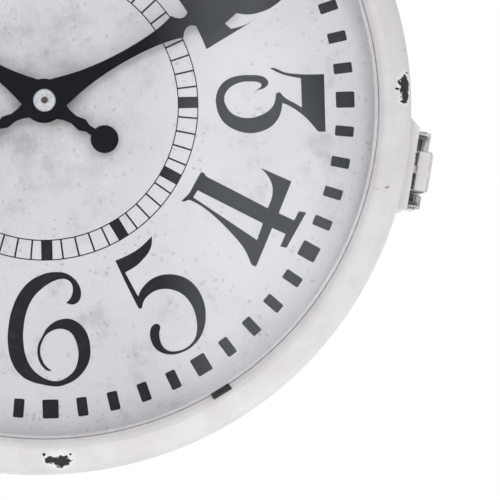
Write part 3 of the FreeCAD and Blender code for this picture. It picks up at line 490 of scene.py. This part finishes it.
dial_face = 20.0
ink_lift = 0.04
C = True                   # marks a sharp corner of a numeral's outline
numerals = {
    "1": [[(1.5, 28.3, C), (4.8, 28.3, C), (4.8, -20.5), (6.5, -24.2), (11.8, -25.8, C),
           (11.8, -28.3, C), (-11.8, -28.3, C), (-11.8, -25.8, C), (-6.5, -24.2), (-4.8, -20.5),
           (-4.8, 12.0), (-6.6, 14.6), (-13.4, 12.6, C), (-13.4, 15.2, C), (-6.0, 19.2),
           (-1.2, 24.0)]],
    "2": [[(-17.5, -26.6, C), (-6.0, -25.6), (6.0, -25.4), (17.8, -26.8, C), (17.7, -1.1, C),
           (16.8, -7.0), (15.4, -11.3, C), (11.7, -12.5, C), (10.3, -5.0, C), (13.5, -0.9),
           (15.7, 4.6), (16.7, 12.1), (14.8, 20.2), (9.6, 26.0), (2.0, 28.4), (-5.6, 27.3),
           (-11.8, 23.2), (-15.4, 16.6), (-15.3, 9.6), (-12.2, 6.0), (-8.8, 7.2), (-8.4, 10.6),
           (-9.9, 14.6), (-8.4, 19.6), (-4.2, 23.2), (0.8, 23.6), (5.2, 20.6), (7.0, 15.0),
           (6.4, 8.4), (3.0, 1.0), (-3.6, -8.2), (-11.0, -17.6)]],
    "3": [[(-12.7, 28.5, C), (1.3, 28.5), (15.6, 28.5, C), (15.5, 24.9, C), (9.3, 19.7),
           (5.5, 15.4), (2.6, 11.1), (1.1, 7.7, C), (6.6, 6.4), (10.1, 4.3), (12.9, 1.2),
           (15.0, -3.7), (15.6, -9.0), (14.2, -15.1), (11.0, -20.5), (6.5, -23.7), (2.1, -24.9),
           (-1.4, -25.1), (-7.9, -22.7), (-11.3, -18.4), (-12.8, -12.7), (-12.9, -7.9),
           (-12.5, -3.2), (-11.1, -0.2), (-8.8, 0.9), (-6.8, -0.5), (-5.6, -3.6),
           (-5.2, -5.8, C), (-6.4, -3.6), (-8.0, -2.5), (-9.3, -4.0), (-9.7, -6.6),
           (-9.6, -11.5), (-8.2, -15.9), (-5.7, -19.2), (-1.3, -21.0), (1.5, -20.3),
           (5.3, -17.8), (7.4, -14.1), (8.2, -9.7), (7.2, -4.0), (4.6, 0.9), (2.0, 3.2),
           (-0.9, 4.2), (-3.7, 4.6, C), (-4.3, 6.6, C), (-2.5, 7.9), (-0.8, 9.9), (1.4, 13.8),
           (3.5, 17.1, C), (-3.3, 17.1), (-10.9, 17.0, C), (-11.9, 11.9), (-13.3, 7.1),
           (-15.9, 2.0, C), (-16.3, 3.0), (-16.0, 4.5), (-14.0, 8.9), (-13.1, 14.2),
           (-12.7, 20.3)]],
    "4": [[(8.6, 26.4, C), (8.8, 24.9), (7.9, 23.2, C), (8.4, 6.3), (8.8, -10.7, C),
           (13.5, -10.2), (17.4, -8.9), (20.7, -6.3), (23.1, -2.5), (24.5, 1.8, C),
           (26.0, -14.7, C), (9.3, -16.7, C), (9.8, -25.0, C), (14.9, -24.9, C), (16.1, -28.4, C),
           (-3.8, -28.1, C), (-4.7, -25.1, C), (1.9, -24.5, C), (1.4, -17.3, C),
           (-19.1, -19.4, C), (-19.4, -17.1, C), (-14.6, -10.7), (-12.1, -5.4), (-10.0, 0.8),
           (-7.9, 7.9), (-6.4, 15.2), (-5.9, 21.0), (-6.2, 25.0, C), (-8.3, 26.9, C),
           (-8.5, 28.1, C), (-3.7, 26.6), (2.5, 26.5)],
          [(-0.1, 23.6, C), (1.1, -12.2, C), (-7.4, -13.6, C), (-4.2, 23.8, C)]],
    "5": [[(-9.5, 26.6, C), (-5.7, 26.0), (-1.1, 25.6), (3.7, 25.7), (8.0, 26.5),
           (12.1, 27.5, C), (9.4, 23.7), (6.1, 21.4), (2.7, 20.2), (-1.2, 19.2), (-8.4, 19.1, C),
           (-8.8, 12.2), (-9.0, 5.9, C), (-6.9, 7.5), (-3.2, 9.0), (1.0, 9.7), (5.4, 9.1),
           (9.5, 7.3), (13.4, 4.2), (16.2, 0.2), (17.6, -4.5), (17.7, -9.3), (16.7, -14.4),
           (14.2, -19.5), (10.9, -23.7), (6.5, -26.9), (1.4, -28.6), (-3.9, -28.7),
           (-9.9, -26.8), (-13.8, -23.1), (-15.2, -19.2), (-14.6, -14.8), (-12.3, -11.0),
           (-10.0, -9.9), (-8.1, -10.3), (-7.4, -11.9), (-9.4, -14.6), (-11.1, -18.3),
           (-11.3, -21.8), (-10.2, -24.3), (-8.0, -26.1), (-4.1, -27.5), (0.2, -27.5),
           (3.9, -26.1), (7.2, -22.8), (9.3, -18.9), (10.8, -14.1), (11.1, -8.9), (9.8, -4.0),
           (7.3, -0.4), (4.1, 2.2), (0.3, 3.7), (-4.0, 3.8), (-7.5, 2.7), (-10.6, 0.0, C),
           (-11.9, 0.6, C), (-10.9, 13.5)]],
    "6": [[(8.7, 12.9, C), (11.3, 12.0), (13.0, 12.2), (15.0, 13.6), (16.1, 16.2), (16.0, 19.3),
           (14.6, 22.6), (12.0, 25.5), (8.6, 27.4), (4.7, 28.0), (0.7, 27.8), (-2.6, 26.9),
           (-8.4, 24.0), (-13.4, 18.8), (-17.2, 11.5), (-19.6, 2.0), (-20.0, -7.5),
           (-18.2, -15.8), (-14.2, -21.8), (-9.2, -25.0), (-3.8, -26.6), (0.7, -27.5),
           (4.2, -27.7), (8.1, -26.7), (12.1, -24.8), (15.7, -21.7), (18.2, -18.2),
           (19.8, -13.9), (20.1, -9.1), (19.2, -3.9), (17.1, 0.5), (13.7, 3.6), (10.2, 5.1),
           (6.7, 5.0), (2.8, 3.7), (-0.8, 0.9), (-3.3, -3.2), (-5.4, -7.5), (-5.8, -11.5),
           (-4.9, -15.4), (-3.0, -18.4), (-0.8, -20.0), (1.1, -20.0, C), (-1.7, -17.8),
           (-3.5, -14.7), (-4.4, -11.2), (-4.2, -8.4), (-3.3, -5.8), (-1.3, -2.5), (1.4, -0.7),
           (4.9, 0.3), (7.9, -0.1), (10.7, -1.7), (12.6, -4.6), (13.8, -8.6), (14.2, -12.5),
           (13.4, -16.8), (11.8, -20.3), (9.1, -22.8), (6.0, -24.5), (2.5, -25.1),
           (-0.5, -24.5), (-3.7, -23.0), (-8.0, -19.4), (-11.0, -14.0), (-12.4, -7.0),
           (-12.2, 1.5), (-10.4, 9.5), (-7.0, 16.0), (-2.7, 20.2), (0.2, 22.2), (3.7, 23.9),
           (7.4, 24.6), (9.8, 24.0), (11.5, 22.4), (12.2, 19.8), (11.8, 17.0), (10.4, 14.4)]],
    "7": [[(-14.6, 28.5, C), (0.0, 28.5), (15.8, 28.5, C), (15.6, 23.6, C), (9.0, 9.6),
           (5.0, -4.0), (3.4, -16.0), (3.4, -28.3, C), (-7.6, -28.3, C), (-6.8, -16.6),
           (-3.2, -4.4), (2.2, 7.2), (8.2, 17.2, C), (-4.0, 17.1), (-11.4, 17.2, C),
           (-12.6, 12.4), (-15.9, 4.6, C), (-16.4, 7.0), (-15.0, 16.0)]],
    "8": [[(0.6, 28.6), (8.6, 26.8), (13.6, 21.4), (13.4, 13.8), (9.6, 7.6), (6.4, 4.2),
           (12.6, 0.4), (17.4, -6.6), (18.0, -15.0), (14.0, -23.4), (6.2, -28.0), (-3.6, -28.6),
           (-12.4, -25.2), (-17.6, -17.6), (-17.0, -8.6), (-12.4, -1.8), (-6.4, 2.8),
           (-11.4, 7.8), (-13.6, 14.6), (-12.0, 22.0), (-6.6, 27.2)],
          [(0.8, 25.0), (5.2, 22.2), (6.8, 16.8), (5.0, 10.6), (1.6, 7.2), (-3.4, 10.4),
           (-6.0, 16.0), (-4.6, 22.0)],
          [(-1.8, -1.0), (4.8, -5.6), (9.0, -12.0), (8.8, -19.0), (4.4, -24.4), (-1.8, -25.4),
           (-7.6, -22.0), (-9.8, -15.0), (-7.6, -7.2)]],
    "0": [[(0.0, 28.5), (9.2, 25.6), (15.6, 16.0), (17.6, 0.0), (15.6, -16.0), (9.2, -25.6),
           (0.0, -28.5), (-9.2, -25.6), (-15.6, -16.0), (-17.6, 0.0), (-15.6, 16.0),
           (-9.2, 25.6)],
          [(0.0, 25.4), (5.0, 21.0), (8.0, 11.5), (8.8, 0.0), (8.0, -11.5), (5.0, -21.0),
           (0.0, -25.4), (-5.0, -21.0), (-8.0, -11.5), (-8.8, 0.0), (-8.0, 11.5),
           (-5.0, 21.0)]],
}
numerals["9"] = [[(-p[0], -p[1]) + tuple(p[2:]) for p in loop] for loop in numerals["6"]]

# hour: its digits, each with its middle's shift to the right and its width's share
hours = {h: [(str(h), 0.0, 1.0)] for h in range(1, 10)}
hours[10] = [("1", -19.5, 0.86), ("0", 9.5, 0.92)]
hours[11] = [("1", -11.6, 0.86), ("1", 11.6, 0.86)]
hours[12] = [("1", -18.0, 0.86), ("2", 9.5, 0.90)]
numeral_middle = 109.6


def filled(name, loops, material):
    """A flat filled shape from closed outlines, round unless a point is a corner."""
    line = bpy.data.curves.new(name, "CURVE")
    line.dimensions = "2D"
    line.fill_mode = "BOTH"
    line.resolution_u = 7
    for loop in loops:
        spline = line.splines.new("BEZIER")
        spline.use_cyclic_u = True
        spline.bezier_points.add(len(loop) - 1)
        for point, drawn in zip(spline.bezier_points, loop):
            point.co = (drawn[0], drawn[1], 0.0)
            kind = "VECTOR" if len(drawn) > 2 else "AUTO"
            point.handle_left_type = kind
            point.handle_right_type = kind
    holder = bpy.data.objects.new(name, line)
    bpy.context.scene.collection.objects.link(holder)
    bpy.context.view_layer.update()
    mesh = bpy.data.meshes.new_from_object(holder)
    bpy.data.objects.remove(holder)
    bpy.data.curves.remove(line)
    mesh.materials.clear()
    mesh.materials.append(material)
    return mesh


def laid_on(side, mesh):
    """Moves a flat shape, drawn in dial millimetres, onto the dial's face."""
    mesh.transform(Matrix.Scale(mm, 4))
    upright = Matrix(((side, 0, 0, 0), (0, 0, -side, 0), (0, 1, 0, 0), (0, 0, 0, 1)))
    mesh.transform(Matrix.Translation(at(side, 0, dial_face + ink_lift, 0)) @ upright)


def block(inner, outer, width, angle, corner):
    """A printed block across a ring, clockwise by the angle from twelve."""
    loop = []
    for cx, cy, start in ((width / 2 - corner, outer - corner, 90),
                          (width / 2 - corner, inner + corner, 0),
                          (corner - width / 2, inner + corner, -90),
                          (corner - width / 2, outer - corner, -180)):
        for k in range(4):
            a = math.radians(start - 30 * k)
            loop.append((cx + corner * math.cos(a), cy + corner * math.sin(a)))
    c, s = math.cos(math.radians(angle)), math.sin(math.radians(angle))
    return [(x * c + y * s, y * c - x * s) for x, y in loop]


def ring_band(inner, outer, count=240):
    """The points and faces of a flat printed ring."""
    points, faces = [], []
    for k in range(count):
        a = 2 * math.pi * k / count
        for r in (inner, outer):
            points.append((r * math.cos(a), r * math.sin(a), 0.0))
        j = (k + 1) % count
        faces.append((2 * k, 2 * k + 1, 2 * j + 1, 2 * j))
    return points, faces


track_inner, track_outer, track_line = 66.05, 75.65, 0.54
track_hour, track_minute = 5.5, 0.85
block_inner, block_outer, block_hour, block_minute = 143.6, 152.8, 7.9, 5.1
for side, half in ((1, "front"), (-1, "rear")):
    points, faces = [], []
    for inner, outer in ((track_inner - track_line / 2, track_inner + track_line / 2),
                         (track_outer - track_line / 2, track_outer + track_line / 2)):
        more, band = ring_band(inner, outer)
        faces += [tuple(i + len(points) for i in f) for f in band]
        points += more
    for minute in range(60):
        whole = minute % 5 == 0
        bars = ((block_inner, block_outer, block_hour if whole else block_minute, 0.7),
                (track_inner, track_outer, track_hour if whole else track_minute, 0.05))
        for inner, outer, width, corner in bars:
            loop = block(inner, outer, width, 6 * minute, corner)
            faces.append(tuple(range(len(points), len(points) + len(loop)))[::-1])
            points += [(x, y, 0.0) for x, y in loop]
    tracks = new_piece(half + "_minute_print", points, faces, print_ink, smooth=False)
    laid_on(side, tracks.data)
    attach(tracks, half + "_half")
    for hour, digits in hours.items():
        loops = []
        for digit, shift, width in digits:
            for loop in numerals[digit]:
                loops.append([(p[0] * width + shift, p[1]) + tuple(p[2:]) for p in loop])
        name = "%s_numeral_%02d" % (half, hour)
        mesh = filled(name, loops, print_ink)
        flip = 180 if 4 <= hour <= 8 else 0
        a = math.radians(30 * hour)
        mesh.transform(Matrix.Rotation(math.radians(flip) - a, 4, "Z"))
        mesh.transform(Matrix.Translation((numeral_middle * math.sin(a),
                                           numeral_middle * math.cos(a), 0)))
        laid_on(side, mesh)
        numeral = bpy.data.objects.new(name, mesh)
        bpy.context.scene.collection.objects.link(numeral)
        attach(numeral, half + "_half")

# ------------------------------------------------------------------ hands
# Blanked from 1 mm sheet and sprayed black, with a little dust on them. The
# hour hand sits below, the minute hand is held by the open bright nut.
hand_black, tree, shader = principled("hand_black", Specular_IOR_Level=0.10)
spot = node(tree, "ShaderNodeTexCoord").outputs["Object"]
dusty = node(tree, "ShaderNodeTexNoise", {"Vector": spot, "Scale": 260.0, "Detail": 7.0,
             "Roughness": 0.7}).outputs["Fac"]
tree.links.new(blend_colour(tree, spread(tree, dusty, 0.55, 0.8), (0.003, 0.003, 0.005, 1),
               (0.009, 0.011, 0.015, 1)), shader.inputs["Base Color"])
tree.links.new(spread(tree, dusty, 0.3, 0.7, 0.38, 0.55), shader.inputs["Roughness"])
bump = node(tree, "ShaderNodeBump", {"Strength": 0.06, "Distance": 0.00005, "Height": dusty})
tree.links.new(bump.outputs[0], shader.inputs["Normal"])
finish_nodes(hand_black, "front_hour_hand", "front_minute_hand", "rear_hour_hand",
             "rear_minute_hand")

# ------------------------------------------------------------------ hand nut and arbor
# A turned and polished open nut holds the minute hand on its arbor, whose dull
# end shows through it.
turning, entry, leave = effect("turning_lines", [
    ("Middle", VECTOR, (0, 0, 0)), ("Pitch", NUMBER, 9000.0)], [("Height", NUMBER)])
spot = node(turning, "ShaderNodeTexCoord").outputs["Object"]
away = node(turning, "ShaderNodeVectorMath", {0: spot, 1: entry.outputs["Middle"]},
            operation="SUBTRACT")
away = node(turning, "ShaderNodeVectorMath", {0: away.outputs[0]}, operation="LENGTH")
groove = math_of(turning, "SINE", math_of(turning, "MULTIPLY", away.outputs["Value"],
                 entry.outputs["Pitch"]))
turning.links.new(groove, leave.inputs["Height"])


def bare_metal(name, colour, low, high, middle=None):
    """Plated or turned metal with faint smears, and turning lines where given."""
    made, tree, shader = principled(name, Metallic=1.0)
    spot = node(tree, "ShaderNodeTexCoord").outputs["Object"]
    smear = node(tree, "ShaderNodeTexNoise", {"Vector": spot, "Scale": 180.0, "Detail": 6.0,
                 "Roughness": 0.65}).outputs["Fac"]
    darker = tuple(0.78 * c for c in colour) + (1,)
    tree.links.new(blend_colour(tree, spread(tree, smear, 0.35, 0.7), colour + (1,), darker),
                   shader.inputs["Base Color"])
    tree.links.new(spread(tree, smear, 0.3, 0.7, low, high), shader.inputs["Roughness"])
    height = smear
    if middle is not None:
        lines = node(tree, "ShaderNodeGroup", node_tree=turning)
        lines.inputs["Middle"].default_value = middle
        height = lines.outputs["Height"]
    bump = node(tree, "ShaderNodeBump", {"Strength": 0.15, "Distance": 0.00004,
                "Height": height})
    tree.links.new(bump.outputs[0], shader.inputs["Normal"])
    return made


nut_depth, hands_rise = 30.2, 1.7
for side, half in ((1, "front"), (-1, "rear")):
    polished = bare_metal(half + "_polished_nut", (0.80, 0.81, 0.83), 0.20, 0.34,
                          at(side, 0, nut_depth, hands_rise))
    finish_nodes(polished, half + "_hand_nut")
arbor_end = bare_metal("dull_brass", (0.10, 0.085, 0.06), 0.35, 0.55)
finish_nodes(arbor_end, "front_minute_arbor", "rear_minute_arbor")

# ------------------------------------------------------------------ movements
# A black moulded quartz movement behind each dial, held by a brass nut on its
# bush, with a thumb wheel, one cell in a plain sleeve and two spring contacts.
moulding, tree, shader = principled("black_moulding", Specular_IOR_Level=0.4)
spot = node(tree, "ShaderNodeTexCoord").outputs["Object"]
spark = node(tree, "ShaderNodeTexNoise", {"Vector": spot, "Scale": 1500.0, "Detail": 3.0})
tree.links.new(blend_colour(tree, spread(tree, spark.outputs["Fac"], 0.4, 0.7),
               (0.020, 0.020, 0.022, 1), (0.036, 0.036, 0.039, 1)), shader.inputs["Base Color"])
tree.links.new(spread(tree, spark.outputs["Fac"], 0.3, 0.7, 0.40, 0.58),
               shader.inputs["Roughness"])
bump = node(tree, "ShaderNodeBump", {"Strength": 0.4, "Distance": 0.00006,
            "Height": spark.outputs["Fac"]})
tree.links.new(bump.outputs[0], shader.inputs["Normal"])
finish_nodes(moulding, "front_movement", "rear_movement", "front_setting_knob",
             "rear_setting_knob")
yellow_brass = bare_metal("yellow_brass", (0.72, 0.53, 0.25), 0.22, 0.38)
finish_nodes(yellow_brass, "front_dial_nut", "rear_dial_nut")
zinc = bare_metal("zinc_plate", (0.60, 0.61, 0.63), 0.28, 0.46)
finish_nodes(zinc, "front_battery_contacts", "rear_battery_contacts", "front_dial_tabs",
             "rear_dial_tabs", "front_dial_screws", "rear_dial_screws")

sleeve, tree, shader = principled("cell_sleeve", Coat_Weight=0.3, Coat_Roughness=0.15)
spot = node(tree, "ShaderNodeTexCoord").outputs["Object"]
along = node(tree, "ShaderNodeSeparateXYZ", {0: spot}).outputs["X"]
from_middle = math_of(tree, "ABSOLUTE", math_of(tree, "SUBTRACT", along, centre.x))
scratch = node(tree, "ShaderNodeTexNoise", {"Vector": spot, "Scale": 300.0, "Detail": 6.0})
sleeve_ends = (0.0239, 0.0241)       # how far the sleeve reaches from the middle
metal_end = spread(tree, from_middle, *sleeve_ends)
colour = blend_colour(tree, spread(tree, scratch.outputs["Fac"], 0.5, 0.8), (0.10, 0.12, 0.15, 1),
                      (0.18, 0.20, 0.23, 1))
tree.links.new(blend_colour(tree, metal_end, colour, (0.62, 0.62, 0.64, 1)),
               shader.inputs["Base Color"])
tree.links.new(metal_end, shader.inputs["Metallic"])
tree.links.new(spread(tree, scratch.outputs["Fac"], 0.3, 0.8, 0.25, 0.42),
               shader.inputs["Roughness"])
finish_nodes(sleeve, "front_battery", "rear_battery")

# ------------------------------------------------------------------ latch and keeper
# Pressed plates on two welded pads: the lever and its claw on the rear half,
# the keeper on the front half. All were painted with the case, and the paint
# is off where they rub. What lies in the lever's shadowed inside is tinted
# dark grey as painted shade.
latch_paint = off_white_paint("latch_paint", 0.75, 0.6)
finish_nodes(latch_paint, "latch_claw", "latch_keeper", "keeper_rivets", "latch_lever_pins")

# the inside of the lever's channel is tinted dark grey: painted shade for the channel's shadowed
# inside
lever_paint_with_painted_shade = off_white_paint("lever_paint_with_painted_shade", 0.75, 0.6)
tree = lever_paint_with_painted_shade.node_tree
shader = tree.nodes["Principled BSDF"]
painted = shader.inputs["Base Color"].links[0].from_socket
spot = node(tree, "ShaderNodeTexCoord").outputs["Object"]
from_centre = node(tree, "ShaderNodeVectorMath", {0: spot, 1: tuple(centre)},
                   operation="SUBTRACT").outputs[0]
latch_turn = math.radians(10.8)      # the latch sits this far below 3 o'clock
outwards = (math.cos(latch_turn), 0.0, -math.sin(latch_turn))
along = (math.sin(latch_turn), 0.0, math.cos(latch_turn))
lever_middle = 0.0017
under_plate = (0.19250, 0.19242)
behind_edge = (0.01002, 0.01010)
between_cheeks = (0.01745, 0.01738)
height = node(tree, "ShaderNodeVectorMath", {0: from_centre, 1: outwards},
              operation="DOT_PRODUCT").outputs["Value"]
across = node(tree, "ShaderNodeVectorMath", {0: from_centre, 1: along},
              operation="DOT_PRODUCT").outputs["Value"]
depth = node(tree, "ShaderNodeSeparateXYZ", {0: from_centre}).outputs["Y"]
shaded_inside = spread(tree, height, *under_plate)
shaded_inside = math_of(tree, "MULTIPLY", shaded_inside, spread(tree, depth, *behind_edge))
from_middle = math_of(tree, "ABSOLUTE", math_of(tree, "SUBTRACT", across, lever_middle))
shaded_inside = math_of(tree, "MULTIPLY", shaded_inside, spread(tree, from_middle, *between_cheeks))
tree.links.new(blend_colour(tree, shaded_inside, painted, (0.16, 0.16, 0.165, 1)),
               shader.inputs["Base Color"])
finish_nodes(lever_paint_with_painted_shade, "latch_lever")
# the claw pin, its spacers, the latch base and its rivets are dark grey: painted shade for the
# shadowed space under the lever
painted_shade_grey, tree, shader = principled("grey_painted_shade", Roughness=0.6)
spot = node(tree, "ShaderNodeTexCoord").outputs["Object"]
smear = node(tree, "ShaderNodeTexNoise", {"Vector": spot, "Scale": 260.0, "Detail": 5.0})
tree.links.new(blend_colour(tree, smear.outputs["Fac"], (0.13, 0.13, 0.135, 1),
               (0.20, 0.20, 0.205, 1)), shader.inputs["Base Color"])
tree.links.new(spread(tree, smear.outputs["Fac"], 0.3, 0.7, 0.5, 0.68),
               shader.inputs["Roughness"])
finish_nodes(painted_shade_grey, "latch_claw_pin", "latch_claw_spacers", "latch_base",
             "latch_base_rivets")

# ------------------------------------------------------------------ hinge
# Two folded steel leaves, riveted to the skirts and painted with them, on a
# plated pin with two upset heads.
finish_nodes(latch_paint, "rear_hinge_leaf", "front_hinge_leaf", "rear_hinge_rivets",
             "front_hinge_rivets")
finish_nodes(zinc, "hinge_pin")

# ------------------------------------------------------------------ hanger and swivel
# A cranked neck bolted to a pad on the rear skirt. Its spindle turns in the
# arm's boss between two washers, under a capped nut.
finish_nodes(latch_paint, "hanger")
finish_nodes(zinc, "hanger_bolts", "swivel_spindle", "thrust_washer", "top_washer", "swivel_nut")

# ------------------------------------------------------------------ wall bracket
# A flat wall plate with a welded round arm, a ball at the arm's end and a
# scroll brace bent from flat bar, painted off-white and rubbed like the case.
bracket_paint = off_white_paint("bracket_paint", 0.85, 0.92)
finish_nodes(bracket_paint, "wall_plate", "bracket_arm", "arm_finial", "scroll_brace")
